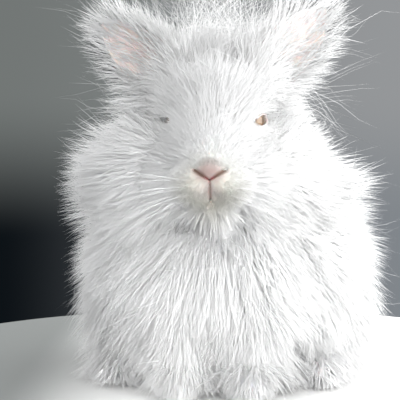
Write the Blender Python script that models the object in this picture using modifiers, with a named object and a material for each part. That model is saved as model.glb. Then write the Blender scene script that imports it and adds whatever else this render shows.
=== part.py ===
"""A young white angora rabbit, life size, sitting upright as a still display model.

Metres, +Z up. The animal faces -Y, and its left side is +X. The origin lies on the floor, under its middle.
"""

import math
from collections import namedtuple
from itertools import combinations

import bmesh
import bpy
import numpy as np
from mathutils import Matrix, Vector
from mathutils.bvhtree import BVHTree

MM = 0.001
GAP = 0.3 * MM

# Driving sizes of the animal. Masses, features and cuts below are shares of these, or millimetres in their
# frame.
TRUNK_BOX = Vector((168, 236, 120)) * MM
SKULL_BOX = Vector((42, 70, 46)) * MM
EYE_SPAN = 35.6 * MM
EYE_RADIUS = 6.4 * MM
EAR_LENGTH = 53 * MM
EAR_WIDTH = 26 * MM
EAR_THICKNESS = 2.2 * MM
SEED = 2

# Where the head and the trunk stand, and how far each is turned about the vertical.
HEAD_PLACE = Vector((3.6, -60, 132)) * MM
HEAD_YAW = math.radians(-5)
TRUNK_PLACE = Vector((8.9, 0, 0)) * MM
TRUNK_YAW = math.radians(-5)
HEAD = Matrix.Translation(HEAD_PLACE) @ Matrix.Rotation(HEAD_YAW, 4, "Z")
TRUNK = Matrix.Translation(TRUNK_PLACE) @ Matrix.Rotation(TRUNK_YAW, 4, "Z")

# Each mass of the core, the body with the inner part of its wool: its centre and radii as shares of the trunk's
# or the skull's box, and its pitch in degrees.
TRUNK_MASSES = {
    "rump": ((0, 0.26, 0.46), (0.33, 0.195, 0.39), 0),
    "belly": ((0, 0.09, 0.46), (0.36, 0.24, 0.37), 0),
    "chest": ((0, -0.10, 0.53), (0.31, 0.165, 0.36), 0),
    "shoulders": ((0, -0.06, 0.74), (0.335, 0.16, 0.26), 0),
    "nape": ((0, -0.13, 0.86), (0.31, 0.12, 0.20), 0),
    "tail_bud": ((0, 0.475, 0.31), (0.085, 0.06, 0.13), 0),
}
TRUNK_PAIRS = {
    "haunch": ((0.215, 0.145, 0.33), (0.165, 0.17, 0.28), 0),
    "hind_foot": ((0.30, -0.025, 0.058), (0.062, 0.145, 0.082), 0),
    "foreleg": ((0.101, -0.215, 0.24), (0.062, 0.046, 0.25), 0),
    "fore_paw": ((0.101, -0.255, 0.05), (0.055, 0.064, 0.075), 0),
}
HEAD_MASSES = {
    "skull": ((0, 0.11, 0.02), (0.49, 0.385, 0.435), 0),
    "muzzle": ((0, -0.20, -0.36), (0.38, 0.32, 0.30), 34),
    "nose_pad": ((0, -0.49, -0.50), (0.17, 0.07, 0.12), 0),
    "chin": ((0, -0.32, -0.80), (0.24, 0.15, 0.16), 0),
    "jaw": ((0, -0.09, -0.61), (0.40, 0.285, 0.32), 0),
    "ruff_core": ((0, 0.37, 0.0), (1.02, 0.20, 0.70), 0),
    "crown": ((0, 0.24, 0.20), (0.57, 0.24, 0.39), 0),
    "crest": ((0, 0.26, 0.50), (0.46, 0.14, 0.34), 0),
}
HEAD_PAIRS = {
    "whisker_pad": ((0.17, -0.41, -0.62), (0.23, 0.13, 0.19), 0),
    "jowl": ((0.31, -0.06, -0.57), (0.31, 0.27, 0.33), 0),
    "cheek": ((0.60, 0.22, -0.50), (0.50, 0.24, 0.47), 0),
    "ear_mound": ((0.38, 0.23, 0.40), (0.21, 0.115, 0.20), 0),
}

# Where the fore and hind legs' regions part, in millimetres from the trunk's middle.
LEG_SPLIT = 33

# The core keeps most of its triangles on the face, up to that share of the skull's length from the nose.
CORE_VOXEL = 2.0 * MM
CORE_SMOOTHING = 10
CORE_SHARE = 0.04
FACE_REACH = 0.4
FACE_LEAST = 0.6

# The ear's root and tip in the head's frame, in millimetres, and the way its cup opens.
EARS = {
    "left": {"root": (18, 17, 20), "tip": (58, 28, 62), "open": (0.25, -0.95, -0.2)},
    "right": {"root": (-18, 17, 19), "tip": (-63, 22, 53), "open": (-0.25, -0.95, -0.2)},
}
EAR_REGION_HALF = (17, 13)
EAR_FLARE = 0.12
# The ear's half-width as a share of its widest, and how far its edges roll in, at shares of its length.
EAR_STATIONS = (0.0, 0.15, 0.35, 0.6, 0.8, 0.93, 1.0)
EAR_WIDTHS = (0.62, 0.86, 1.0, 0.93, 0.66, 0.36, 0.1)
EAR_ROLL = (100, 88, 72, 60, 50, 42, 36)
EAR_ROWS = 8
EAR_COLUMNS = 6
FRINGE_PLACES = (0.22, 0.46, 0.7)
FRINGE_LENGTH = 18 * MM
FRINGE_WIDTH = 8 * MM
FRINGE_LEAN = (0.1, 0.3)

EYE_AXIS = Vector((0.78, -0.62, 0.08)).normalized()
EYE_FACETS = (14, 9)
LID_HALF = Vector((5.6, 3.2)) * MM
LID_ROUND = 0.8 * MM
LID_THICKNESS = 1.1 * MM
LID_POINTS = 12
LID_SLANT = math.radians(18)

# The nose's tip as a share of the skull's box, and in millimetres from it the left nostril, the top of the lip
# line, the fork of the mouth and its left corner.
NOSE_TIP = Vector((0, -0.555, -0.54))
NOSTRIL_STEP = Vector((5.0, 3.4, 0.8))
LIP_STEP = Vector((0, 0.6, -2))
FORK_STEP = Vector((0, 1.3, -12.5))
CORNER_STEP = Vector((8.0, 7.5, -17))
NOSTRIL_SIZE = Vector((4.4, 3.0, 1.0)) * MM
NOSTRIL_TURN = math.radians(38)
NOSTRIL_RISE = math.radians(22)
MOUTH_CUT = 1.0 * MM
MOUTH_DEPTH = 6.5 * MM

# A patch of locks: the node it grows on and the frame its rules are read in, how many, their length, width and
# the height of their tips over the core in millimetres, how closely they follow the surface, where they root, and
# which way they lie. The last two are read at a point in millimetres in that frame.
Patch = namedtuple("Patch", "node frame count length width height hug roots lie")
COAT = (
    Patch("head", HEAD, 17, 24, 11, 3, 0.0, lambda p: p.z > 20 and abs(p.x) < 24,
          lambda p: (p.x / 22, 0.1, 1)),
    Patch("head", HEAD, 9, 20, 8, 5, 0.9, lambda p: 4 < p.z < 22 and p.y < 6, lambda p: (p.x / 12, 0.3, 1)),
    Patch("head", HEAD, 20, 28, 12, 9, 0.7, lambda p: abs(p.x) > 16 and p.y > 4 and p.z < 20,
          lambda p: (p.x / 20, 0.35, -0.45)),
    Patch("head", HEAD, 7, 24, 10, 6, 0.7, lambda p: p.z < -36 and p.y > -22, lambda p: (p.x / 30, -0.1, -1)),
    Patch("head", HEAD, 7, 26, 14, 8, 0.8, lambda p: p.z > 6 and p.y > 24, lambda p: (p.x / 30, 0.8, -0.5)),
    Patch("neck", TRUNK, 25, 36, 16, 11, 0.8, lambda p: True, lambda p: (p.x / 40, 0.15 + p.y / 90, -1)),
    Patch("torso", TRUNK, 14, 38, 17, 11, 1.0, lambda p: p.y < -20, lambda p: (p.x / 60, 0.1, -1)),
    Patch("torso", TRUNK, 36, 46, 21, 12, 1.0, lambda p: p.y >= -20 and p.z > 20,
          lambda p: (p.x / 120, 1, -0.55)),
    Patch("tail", TRUNK, 8, 20, 11, 6, 0.9, lambda p: p.y > 106, lambda p: (p.x / 14, 0.8, (p.z - 30) / 20)),
) + tuple(
    patch for side in ("left", "right") for patch in (
        Patch("hindleg_" + side, TRUNK, 13, 40, 18, 10, 1.0, lambda p: p.z > 20 and p.y > -8,
              lambda p: (p.x / 160, 0.8, -0.7)),
        Patch("foreleg_" + side, TRUNK, 5, 18, 9, 4, 0.9, lambda p: p.z > 16, lambda p: (0, -0.1, -1)),
    )
)
LOCK_STEPS = (0.3, 0.34, 0.36)
LOCK_WIDTHS = (0.5, 1.0, 0.64)
LOCK_RISE = (0.45, 0.85, 1.0)
LOCK_FLATNESS = 0.38
LOCK_SINK = 4 * MM
SPREAD = {"length": 0.2, "width": 0.15, "height": 0.3, "turn": math.radians(13), "roll": math.radians(20)}
ROOT_TRIES = 24000
EYE_CLEAR = 12 * MM


def part_colours():
    return {
        "ear": (0.90, 0.80, 0.76),
        "eye": (0.16, 0.07, 0.04),
        "coat": (0.91, 0.90, 0.88),
    }


def plane(frame, point, outward):
    """A cutting plane as a point and an outward normal in the world, from ones in millimetres in that frame."""
    return frame @ (Vector(point) * MM), (frame.to_3x3() @ Vector(outward)).normalized()


def grown(planes, by=GAP):
    """The same region with every plane moved outwards."""
    return [(point + normal * by, normal) for point, normal in planes]


def mirrored(side, values):
    return [((side * p[0], p[1], p[2]), (side * n[0], n[1], n[2])) for p, n in values]


def region_planes():
    """The convex regions that part the animal, each bounded by planes whose normals point out of it."""
    found = {
        "head": [plane(HEAD, (0, 27, -14), (0, 0.80, -0.60))],
        "torso": [
            plane(TRUNK, (0, -12, 100), (0, -0.60, 0.80)),
            plane(TRUNK, (0, -62, 74), (0, -0.88, 0.47)),
            plane(TRUNK, (0, 0, 2), (0, 0, -1)),
        ],
        "tail": [
            plane(TRUNK, (0, 103, 0), (0, -1, 0)),
            plane(TRUNK, (0, 0, 12), (0, 0, -1)),
            plane(TRUNK, (0, 105, 66), (0, 0.5, 0.87)),
            plane(TRUNK, (24, 0, 0), (1, 0, 0)),
            plane(TRUNK, (-24, 0, 0), (-1, 0, 0)),
        ],
    }
    for name, side in (("left", 1), ("right", -1)):
        hind = [
            ((LEG_SPLIT, 0, 0), (-1, 0, 0)),
            ((58, 0, 84), (0.25, 0, 0.97)),
            ((0, -12, 46), (0, -0.6, 0.8)),
            ((0, -46, 0), (0, -1, 0)),
            ((0, 86, 0), (0, 1, 0)),
        ]
        fore = [
            ((0.4, 0, 0), (-1, 0, 0)),
            ((LEG_SPLIT - 0.4, 0, 0), (1, 0, 0)),
            ((0, -30, 0), (0, 1, 0)),
            ((0, -45, 42), (0, -0.45, 0.89)),
        ]
        found["hindleg_" + name] = [plane(TRUNK, p, n) for p, n in mirrored(side, hind)]
        found["foreleg_" + name] = [plane(TRUNK, p, n) for p, n in mirrored(side, fore)]
    return found


def ear_frame(side):
    """The ear's own frame: +Z along it, -Y out of its cup, with its root at the origin."""
    ear = EARS[side]
    root, tip = (Vector(ear[key]) * MM for key in ("root", "tip"))
    along = (tip - root).normalized()
    back = -Vector(ear["open"])
    back = (back - along * back.dot(along)).normalized()
    across = back.cross(along)
    turn = Matrix((across, back, along)).transposed().to_4x4()
    return HEAD @ Matrix.Translation(root) @ turn


def ear_region(side):
    """A box that flares along the ear, from its root on."""
    frame = ear_frame(side)
    wide, deep = EAR_REGION_HALF
    walls = [((0, 0, 0), (0, 0, -1))]
    for way in (1, -1):
        walls.append(((way * wide, 0, 0), (way, 0, -EAR_FLARE)))
        walls.append(((0, way * deep, 0), (0, way, -EAR_FLARE)))
    return [plane(frame, point, normal) for point, normal in walls]


def node_cuts():
    """For each node of flesh, the planes it lies inside and the regions it lies outside."""
    regions = region_planes()
    floor = plane(TRUNK, (0, 0, 0), (0, 0, -1))
    legs = [name for name in regions if "leg_" in name]
    ears = {side: ear_region(side) for side in EARS}
    cuts = {"ear_" + side: (ears[side] + regions["head"], []) for side in EARS}
    cuts["head"] = (regions["head"], list(ears.values()))
    for leg in legs:
        cuts[leg] = (regions[leg] + [floor], [])
    cuts["tail"] = (regions["tail"], [])
    cuts["torso"] = (regions["torso"], [regions[name] for name in legs + ["tail"]])
    cuts["neck"] = ([], [regions["head"], regions["torso"]] + [regions[leg] for leg in legs])
    return cuts


def depth_past(point, planes):
    """How far a point lies outside the nearest wall of a convex region, or inside it where negative."""
    return max((point - at).dot(normal) for at, normal in planes)


def belongs(point, cut):
    inside, outside = cut
    within = not inside or depth_past(point, inside) < 0
    return within and all(depth_past(point, region) > 0 for region in outside)


def clear_of_others(point, cut, room):
    """The point moved the shortest way so that it keeps that much room inside its own node's cuts."""
    inside, outside = cut
    for at, normal in inside:
        point = point - normal * max(0.0, (point - at).dot(normal) + room)
    for region in outside:
        past = [((point - at).dot(normal), normal) for at, normal in region]
        nearest, normal = max(past, key=lambda wall: wall[0])
        if nearest < room:
            point = point + normal * (room - nearest)
    return point


def clear_scene():
    for obj in list(bpy.data.objects):
        bpy.data.objects.remove(obj)


def new_collection(name):
    collection = bpy.data.collections.new(name)
    bpy.context.scene.collection.children.link(collection)
    return collection


def new_object(name, mesh, collection):
    obj = bpy.data.objects.new(name, mesh)
    collection.objects.link(obj)
    return obj


def object_from_bmesh(name, bm, collection):
    mesh = bpy.data.meshes.new(name)
    bmesh.ops.recalc_face_normals(bm, faces=bm.faces[:])
    bm.to_mesh(mesh)
    bm.free()
    return new_object(name, mesh, collection)


def bake(obj):
    """Applies the object's modifiers."""
    graph = bpy.context.evaluated_depsgraph_get()
    mesh = bpy.data.meshes.new_from_object(obj.evaluated_get(graph))
    obj.modifiers.clear()
    obj.data = mesh
    return obj


def ellipsoid_matrix(frame, centre, radii, pitch=0.0):
    shape = Matrix.Rotation(math.radians(pitch), 4, "X") @ Matrix.Diagonal((*radii, 1))
    return frame @ Matrix.Translation(centre) @ shape


def add_ball(bm, matrix, segments=28, rings=18):
    bmesh.ops.create_uvsphere(bm, u_segments=segments, v_segments=rings, radius=1, matrix=matrix)


def ball(name, matrix, collection, segments=16, rings=10):
    bm = bmesh.new()
    add_ball(bm, matrix, segments, rings)
    return object_from_bmesh(name, bm, collection)


def bar(name, start, end, width, depth, toward, collection):
    """A rectangular bar between two points, its depth along toward."""
    along = (end - start).normalized()
    across = toward.cross(along).normalized()
    turn = Matrix((across, along.cross(across), along)).transposed().to_4x4()
    size = Matrix.Diagonal((width, depth, (end - start).length, 1))
    bm = bmesh.new()
    bmesh.ops.create_cube(bm, size=1, matrix=Matrix.Translation((start + end) / 2) @ turn @ size)
    return object_from_bmesh(name, bm, collection)


def add_masses(bm, frame, box, masses, sides=(1,)):
    for centre, radii, pitch in masses.values():
        for side in sides:
            at = Vector((side * centre[0] * box.x, centre[1] * box.y, centre[2] * box.z))
            add_ball(bm, ellipsoid_matrix(frame, at, Vector(radii) * box, pitch))


def whole_core(collection):
    """The animal under the outer half of its coat as one smooth closed mesh, finest on the face."""
    bm = bmesh.new()
    for masses, sides in ((TRUNK_MASSES, (1,)), (TRUNK_PAIRS, (1, -1))):
        add_masses(bm, TRUNK, TRUNK_BOX, masses, sides)
    for masses, sides in ((HEAD_MASSES, (1,)), (HEAD_PAIRS, (1, -1))):
        add_masses(bm, HEAD, SKULL_BOX, masses, sides)
    core = object_from_bmesh("core", bm, collection)
    remesh = core.modifiers.new("skin", "REMESH")
    remesh.mode = "VOXEL"
    remesh.voxel_size = CORE_VOXEL
    smooth = core.modifiers.new("soften", "SMOOTH")
    smooth.factor = 0.5
    smooth.iterations = CORE_SMOOTHING
    bake(core)
    nose = HEAD @ Vector(NOSE_TIP * SKULL_BOX)
    coarse = core.vertex_groups.new(name="coarse")
    for vertex in core.data.vertices:
        away = (vertex.co - nose).length / (FACE_REACH * SKULL_BOX.y)
        coarse.add([vertex.index], min(1.0, max(FACE_LEAST, away)), "REPLACE")
    fewer = core.modifiers.new("fewer", "DECIMATE")
    fewer.ratio = CORE_SHARE
    fewer.vertex_group = "coarse"
    fewer.vertex_group_factor = 1.0
    bake(core)
    core.vertex_groups.clear()
    return core


def region_solid(name, planes, collection):
    """A closed convex solid: a large block cut by each plane."""
    bm = bmesh.new()
    bmesh.ops.create_cube(bm, size=0.8)
    for point, normal in planes:
        geometry = bm.verts[:] + bm.edges[:] + bm.faces[:]
        bmesh.ops.bisect_plane(bm, geom=geometry, dist=1e-7, plane_co=point, plane_no=normal,
                               clear_outer=True)
        rim = [edge for edge in bm.edges if edge.is_boundary]
        bmesh.ops.holes_fill(bm, edges=rim, sides=0)
    return object_from_bmesh(name, bm, collection)


def boolean(target, operand, operation):
    """Applies one Boolean with an object, or a union with a collection, and removes what it was used with."""
    modifier = target.modifiers.new(operation.lower(), "BOOLEAN")
    modifier.operation = operation
    modifier.solver = "MANIFOLD"
    if isinstance(operand, bpy.types.Collection):
        modifier.operand_type = "COLLECTION"
        modifier.collection = operand
        spent = list(operand.objects)
    else:
        modifier.object = operand
        spent = [operand]
    bake(target)
    for obj in spent:
        bpy.data.objects.remove(obj)
    if isinstance(operand, bpy.types.Collection):
        bpy.data.collections.remove(operand)
    return target


def turned_diagonal(edge, first, second):
    """The two triangles beside an edge, with their other diagonal, or nothing where that would fold."""
    loop = next(loop for loop in first.loops if loop.edge == edge)
    start, end = loop.vert, loop.link_loop_next.vert
    left = loop.link_loop_prev.vert
    right = next(vertex for vertex in second.verts if vertex not in (start, end))
    turned = [(start, right, left), (right, end, left)]
    for one, two, three in turned:
        if (two.co - one.co).cross(three.co - one.co).dot(first.normal) <= 0:
            return None
    return turned


def split_into_triangles(bm):
    """Splits every face, so that no two pairs of triangles share a diagonal."""
    bmesh.ops.triangulate(bm, faces=bm.faces[:])
    for edge in [edge for edge in bm.edges if len(edge.link_faces) > 2]:
        pairs = sorted(combinations(edge.link_faces, 2), key=lambda pair: -pair[0].normal.dot(pair[1].normal))
        for pair in pairs[:2]:
            turned = turned_diagonal(edge, *pair)
            if turned:
                for face in pair:
                    bm.faces.remove(face)
                for corners in turned:
                    bm.faces.new(corners)
                break


def keep_largest(obj):
    """Splits the object's faces into triangles and keeps its largest closed surface."""
    bm = bmesh.new()
    bm.from_mesh(obj.data)
    split_into_triangles(bm)
    unseen, shells = set(bm.faces), []
    while unseen:
        front, shell = [unseen.pop()], []
        while front:
            face = front.pop()
            shell.append(face)
            for edge in face.edges:
                for other in edge.link_faces:
                    if other in unseen:
                        unseen.remove(other)
                        front.append(other)
        shells.append(shell)
    shells.sort(key=lambda faces: -sum(face.calc_area() for face in faces))
    scraps = [face for shell in shells[1:] for face in shell]
    bmesh.ops.delete(bm, geom=scraps, context="FACES")
    bm.to_mesh(obj.data)
    bm.free()


def cut_node(node, inside, outside, helpers):
    """Leaves the part of the node inside one region, or all of it, and outside the others."""
    if inside:
        boolean(node, region_solid("region", inside, helpers), "INTERSECT")
    for planes in outside:
        boolean(node, region_solid("region", grown(planes), helpers), "DIFFERENCE")
    keep_largest(node)


def scatter(core, rng):
    """Points spread at random over the core, with the way out at each."""
    mesh = core.data
    mesh.calc_loop_triangles()
    corners = np.array([[mesh.vertices[i].co for i in triangle.vertices] for triangle in mesh.loop_triangles])
    crosses = np.cross(corners[:, 1] - corners[:, 0], corners[:, 2] - corners[:, 0])
    areas = np.linalg.norm(crosses, axis=1)
    chosen = rng.choice(len(areas), ROOT_TRIES, p=areas / areas.sum())
    first, second = rng.random((2, ROOT_TRIES, 1))
    over = first + second > 1
    first, second = np.where(over, 1 - first, first), np.where(over, 1 - second, second)
    base = corners[chosen]
    points = base[:, 0] + first * (base[:, 1] - base[:, 0]) + second * (base[:, 2] - base[:, 0])
    return points, crosses[chosen] / areas[chosen, None]


def spread_out(points, count):
    """Indices of that many of the points, each as far from the ones before it as can be."""
    chosen = [0]
    away = np.linalg.norm(points - points[0], axis=1)
    while len(chosen) < min(count, len(points)):
        chosen.append(int(away.argmax()))
        away = np.minimum(away, np.linalg.norm(points - points[chosen[-1]], axis=1))
    return chosen


def lock_path(patch, cut, tree, root, out, rng):
    """The lock's middle line, from its sunk root along its lie to its tip, and the way out at each point."""
    to_frame = patch.frame.inverted()
    length = patch.length * MM * rng.uniform(1 - SPREAD["length"], 1 + SPREAD["length"])
    height = patch.height * MM * rng.uniform(1 - SPREAD["height"], 1 + SPREAD["height"])
    turn = rng.normal(0, SPREAD["turn"])
    thickness = patch.width * MM * LOCK_FLATNESS
    ground = root
    path = [(root - out * LOCK_SINK, out)]
    for step, rise in zip(LOCK_STEPS, LOCK_RISE):
        local = to_frame @ ground / MM
        flow = patch.frame.to_3x3() @ Vector(patch.lie(local)).normalized()
        flow = Matrix.Rotation(turn, 3, out) @ (flow - out * flow.dot(out) * patch.hug)
        free = ground + flow.normalized() * step * length
        near, near_out = tree.find_nearest(free)[:2]
        ground = free.lerp(near, patch.hug)
        out = out.lerp(near_out, max(patch.hug, 0.2)).normalized()
        path.append((clear_of_others(ground + out * rise * height, cut, thickness / 2 + GAP), out))
    return path


def lock_object(path, width, roll, collection):
    """A flat lock: diamond sections along its line that widen, then taper to a point."""
    points = []
    for index, share in enumerate(LOCK_WIDTHS):
        middle, out = path[index]
        along = (path[index + 1][0] - middle).normalized()
        across = Matrix.Rotation(roll, 3, along) @ along.cross(out).normalized()
        up = across.cross(along)
        wide, thick = across * width * share / 2, up * width * share * LOCK_FLATNESS / 2
        points += [middle + wide, middle + thick, middle - wide, middle - thick]
    points.append(path[-1][0])
    tip = len(points) - 1
    faces = [(3, 2, 1, 0)]
    for ring in range(0, tip - 4, 4):
        for side in range(4):
            after = (side + 1) % 4
            faces.append((ring + side, ring + after, ring + 4 + after, ring + 4 + side))
    faces += [(tip - 4 + side, tip - 4 + (side + 1) % 4, tip) for side in range(4)]
    mesh = bpy.data.meshes.new("lock")
    mesh.from_pydata(points, [], faces)
    bm = bmesh.new()
    bm.from_mesh(mesh)
    bmesh.ops.triangulate(bm, faces=bm.faces[:])
    bpy.data.meshes.remove(mesh)
    return object_from_bmesh("lock", bm, collection)


def grow_locks(core, cuts):
    """Each node's locks, in a collection of their own."""
    rng = np.random.default_rng(SEED)
    tree = BVHTree.FromObject(core, bpy.context.evaluated_depsgraph_get())
    points, ways_out = scatter(core, rng)
    eyes = [eye_centre(side) for side in (1, -1)]
    grown_locks = {}
    for patch in COAT:
        to_frame = patch.frame.inverted()
        cut = cuts[patch.node]
        fits = [i for i, p in enumerate(points)
                if patch.roots(to_frame @ Vector(p) / MM) and belongs(Vector(p), cut)]
        locks = grown_locks.get(patch.node) or new_collection("locks_" + patch.node)
        grown_locks[patch.node] = locks
        for index in spread_out(points[fits], patch.count):
            root, out = Vector(points[fits[index]]), Vector(ways_out[fits[index]])
            path = lock_path(patch, cut, tree, root, out, rng)
            width = patch.width * MM * rng.uniform(1 - SPREAD["width"], 1 + SPREAD["width"])
            roll = rng.uniform(-SPREAD["roll"], SPREAD["roll"])
            if min((point - eye).length for point, _ in path for eye in eyes) > EYE_CLEAR:
                lock_object(path, width, roll, locks)
    return grown_locks


def add_ear_sheet(side, collection):
    """The ear's cup: a leaf-shaped grid, rolled about its length, given thickness."""
    bm = bmesh.new()
    bmesh.ops.create_grid(bm, x_segments=EAR_COLUMNS, y_segments=EAR_ROWS, size=0.5)
    for vertex in bm.verts:
        along, across = vertex.co.y + 0.5, 2 * vertex.co.x
        half = np.interp(along, EAR_STATIONS, EAR_WIDTHS) * EAR_WIDTH / 2
        roll = math.radians(np.interp(along, EAR_STATIONS, EAR_ROLL))
        radius = half / math.sin(min(roll, math.pi / 2))
        angle = across * roll
        depth = radius * (math.cos(angle) - math.cos(roll))
        vertex.co = (radius * math.sin(angle), depth - 0.35 * half, along * EAR_LENGTH + GAP)
    bmesh.ops.transform(bm, matrix=ear_frame(side), verts=bm.verts)
    sheet = object_from_bmesh("ear_sheet", bm, collection)
    shell = sheet.modifiers.new("thickness", "SOLIDIFY")
    shell.thickness = EAR_THICKNESS
    shell.offset = 0
    return bake(sheet)


def add_ear_fringe(side, collection, rng):
    """Locks along the ear's two edges, which lie along it, flat to its sheet, and overlap past its tip."""
    frame = ear_frame(side)
    turn = frame.to_3x3()
    for edge in (1, -1):
        for share in FRINGE_PLACES:
            half = np.interp(share, EAR_STATIONS, EAR_WIDTHS) * EAR_WIDTH / 2
            roll = math.radians(np.interp(share, EAR_STATIONS, EAR_ROLL))
            out = Vector((edge * math.sin(roll), math.cos(roll), 0))
            onward = Vector((edge * math.cos(roll), -math.sin(roll), 0))
            root = Vector((edge * half, -0.35 * half, share * EAR_LENGTH)) - onward * FRINGE_WIDTH / 4
            lean = (Vector((0, 0, 1)) + onward * rng.uniform(*FRINGE_LEAN)).normalized()
            length = FRINGE_LENGTH * rng.uniform(1 - SPREAD["length"], 1 + SPREAD["length"])
            tip = root + lean * length + out * length * 0.1
            steps = [root, root + lean * length * 0.3, root + lean * length * 0.65, tip]
            lock_object([(frame @ step, turn @ out) for step in steps], FRINGE_WIDTH, 0, collection)


def eye_centre(side):
    return HEAD @ Vector((side * EYE_SPAN / 2, 0, 0))


def eye_frame(side):
    """The eye's own frame: +Z out of the eye, +X along the lids' length."""
    out = HEAD.to_3x3() @ Vector((side * EYE_AXIS.x, EYE_AXIS.y, EYE_AXIS.z))
    along = Vector((0, 0, 1)).cross(out).normalized()
    turn = Matrix((along, out.cross(along), out)).transposed().to_4x4()
    return Matrix.Translation(eye_centre(side)) @ turn @ Matrix.Rotation(side * LID_SLANT, 4, "Z")


def lid_ring(side, collection):
    """The rim of the lids, an oval ring that lies on the eye."""
    curve = bpy.data.curves.new("lid_rim", "CURVE")
    curve.dimensions = "3D"
    curve.bevel_depth = LID_ROUND
    curve.bevel_resolution = 1
    rim = curve.splines.new("POLY")
    rim.points.add(LID_POINTS - 1)
    rim.use_cyclic_u = True
    for index, point in enumerate(rim.points):
        angle = 2 * math.pi * index / LID_POINTS
        across, up = LID_HALF.x * math.cos(angle), LID_HALF.y * math.sin(angle)
        out = math.sqrt((EYE_RADIUS + GAP + LID_THICKNESS / 2) ** 2 - across ** 2 - up ** 2)
        point.co = (across, up, out, 1)
    tube = new_object("lid_tube", curve, collection)
    tube.matrix_world = eye_frame(side)
    mesh = bpy.data.meshes.new_from_object(tube.evaluated_get(bpy.context.evaluated_depsgraph_get()))
    mesh.transform(eye_frame(side))
    bpy.data.objects.remove(tube)
    return new_object("lid_rim", mesh, collection)


def add_lids(side, collection):
    """The lids: a thin ball over the eye, and the ring round their opening."""
    over = ellipsoid_matrix(eye_frame(side), Vector(), [EYE_RADIUS + GAP + LID_THICKNESS] * 3)
    ball("lids", over, collection, *EYE_FACETS)
    lid_ring(side, collection)


def eye_cutters(side, collection):
    """The socket, and the opening between the lids."""
    socket = ellipsoid_matrix(eye_frame(side), Vector(), [EYE_RADIUS + GAP] * 3)
    opening = (LID_HALF.x - LID_ROUND / 2, LID_HALF.y - LID_ROUND / 2, EYE_RADIUS)
    slot = ellipsoid_matrix(eye_frame(side), Vector((0, 0, EYE_RADIUS)), opening)
    return [ball("socket", socket, collection, *EYE_FACETS), ball("slot", slot, collection, 12, 7)]


def mouth_cutters(collection):
    """The nostrils' slits, the line down from the nose and the two lines of the mouth."""
    nose = NOSE_TIP * SKULL_BOX
    forward = HEAD.to_3x3() @ Vector((0, -1, 0))
    cutters = []
    top, fork = (HEAD @ (nose + step * MM) for step in (LIP_STEP, FORK_STEP))
    cutters.append(bar("lip_line", top, fork, MOUTH_CUT, MOUTH_DEPTH, forward, collection))
    for side in (1, -1):
        mirror = Matrix.Diagonal((side, 1, 1))
        turn = Matrix.Rotation(side * NOSTRIL_TURN, 4, "Z") @ Matrix.Rotation(-side * NOSTRIL_RISE, 4, "Y")
        slit = HEAD @ Matrix.Translation(nose + mirror @ NOSTRIL_STEP * MM) @ turn
        cutters.append(ball("nostril", slit @ Matrix.Diagonal((*NOSTRIL_SIZE, 1)), collection, 12, 8))
        corner = HEAD @ (nose + mirror @ CORNER_STEP * MM)
        cutters.append(bar("mouth", fork, corner, MOUTH_CUT, MOUTH_DEPTH, forward, collection))
    return cutters


def paint(obj, colour, roughness):
    material = bpy.data.materials.new(obj.name)
    material.use_nodes = True
    shader = material.node_tree.nodes["Principled BSDF"]
    shader.inputs["Base Color"].default_value = (*colour, 1)
    shader.inputs["Roughness"].default_value = roughness
    shader.inputs["Metallic"].default_value = 0
    obj.data.materials.clear()
    obj.data.materials.append(material)


def settle_on_origin(objects):
    """Moves every node so that the animal stands on the origin, centred over it."""
    corners = np.array([v.co for obj in objects for v in obj.data.vertices])
    low, high = corners.min(axis=0), corners.max(axis=0)
    shift = Vector((-(low[0] + high[0]) / 2, -(low[1] + high[1]) / 2, -low[2]))
    for obj in objects:
        obj.location = shift


def main():
    clear_scene()
    rabbit = new_collection("angora_rabbit")
    helpers = new_collection("helpers")
    core = whole_core(helpers)
    cuts = node_cuts()
    locks = grow_locks(core, cuts)
    for name, (inside, outside) in cuts.items():
        node = new_object(name, core.data.copy(), rabbit)
        if name in locks:
            boolean(node, locks[name], "UNION")
        cut_node(node, inside, outside, helpers)
    bpy.data.objects.remove(core)
    objects = {obj.name: obj for obj in rabbit.objects}

    rng = np.random.default_rng(SEED)
    for side in EARS:
        joined = new_collection("joined")
        add_ear_sheet(side, joined)
        add_ear_fringe(side, joined, rng)
        boolean(objects["ear_" + side], joined, "UNION")
        keep_largest(objects["ear_" + side])

    lids = new_collection("lids")
    for side in (1, -1):
        add_lids(side, lids)
    boolean(objects["head"], lids, "UNION")
    for cutter in eye_cutters(1, helpers) + eye_cutters(-1, helpers) + mouth_cutters(helpers):
        boolean(objects["head"], cutter, "DIFFERENCE")
    keep_largest(objects["head"])
    for name, side in (("left", 1), ("right", -1)):
        place = ellipsoid_matrix(eye_frame(side), Vector(), [EYE_RADIUS] * 3)
        ball("eye_" + name, place, rabbit, *EYE_FACETS)

    colours = part_colours()
    for obj in rabbit.objects:
        kind = obj.name.split("_")[0]
        paint(obj, colours.get(kind, colours["coat"]), 0.15 if kind == "eye" else 0.85)
    settle_on_origin(rabbit.objects)


main()
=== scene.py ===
"""The looks of a young white angora rabbit: its skin, wool, ears, eyes, nose and whiskers.

Metres, +Z up. The animal faces -Y, and its left side is +X. Millimetres in a frame are turned to metres
by MM.
"""

import math
from collections import namedtuple

import bmesh
import bpy
import numpy as np
from mathutils import Matrix, Vector
from mathutils.kdtree import KDTree
from mathutils.noise import noise as noise_at, noise_vector, seed_set


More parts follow.
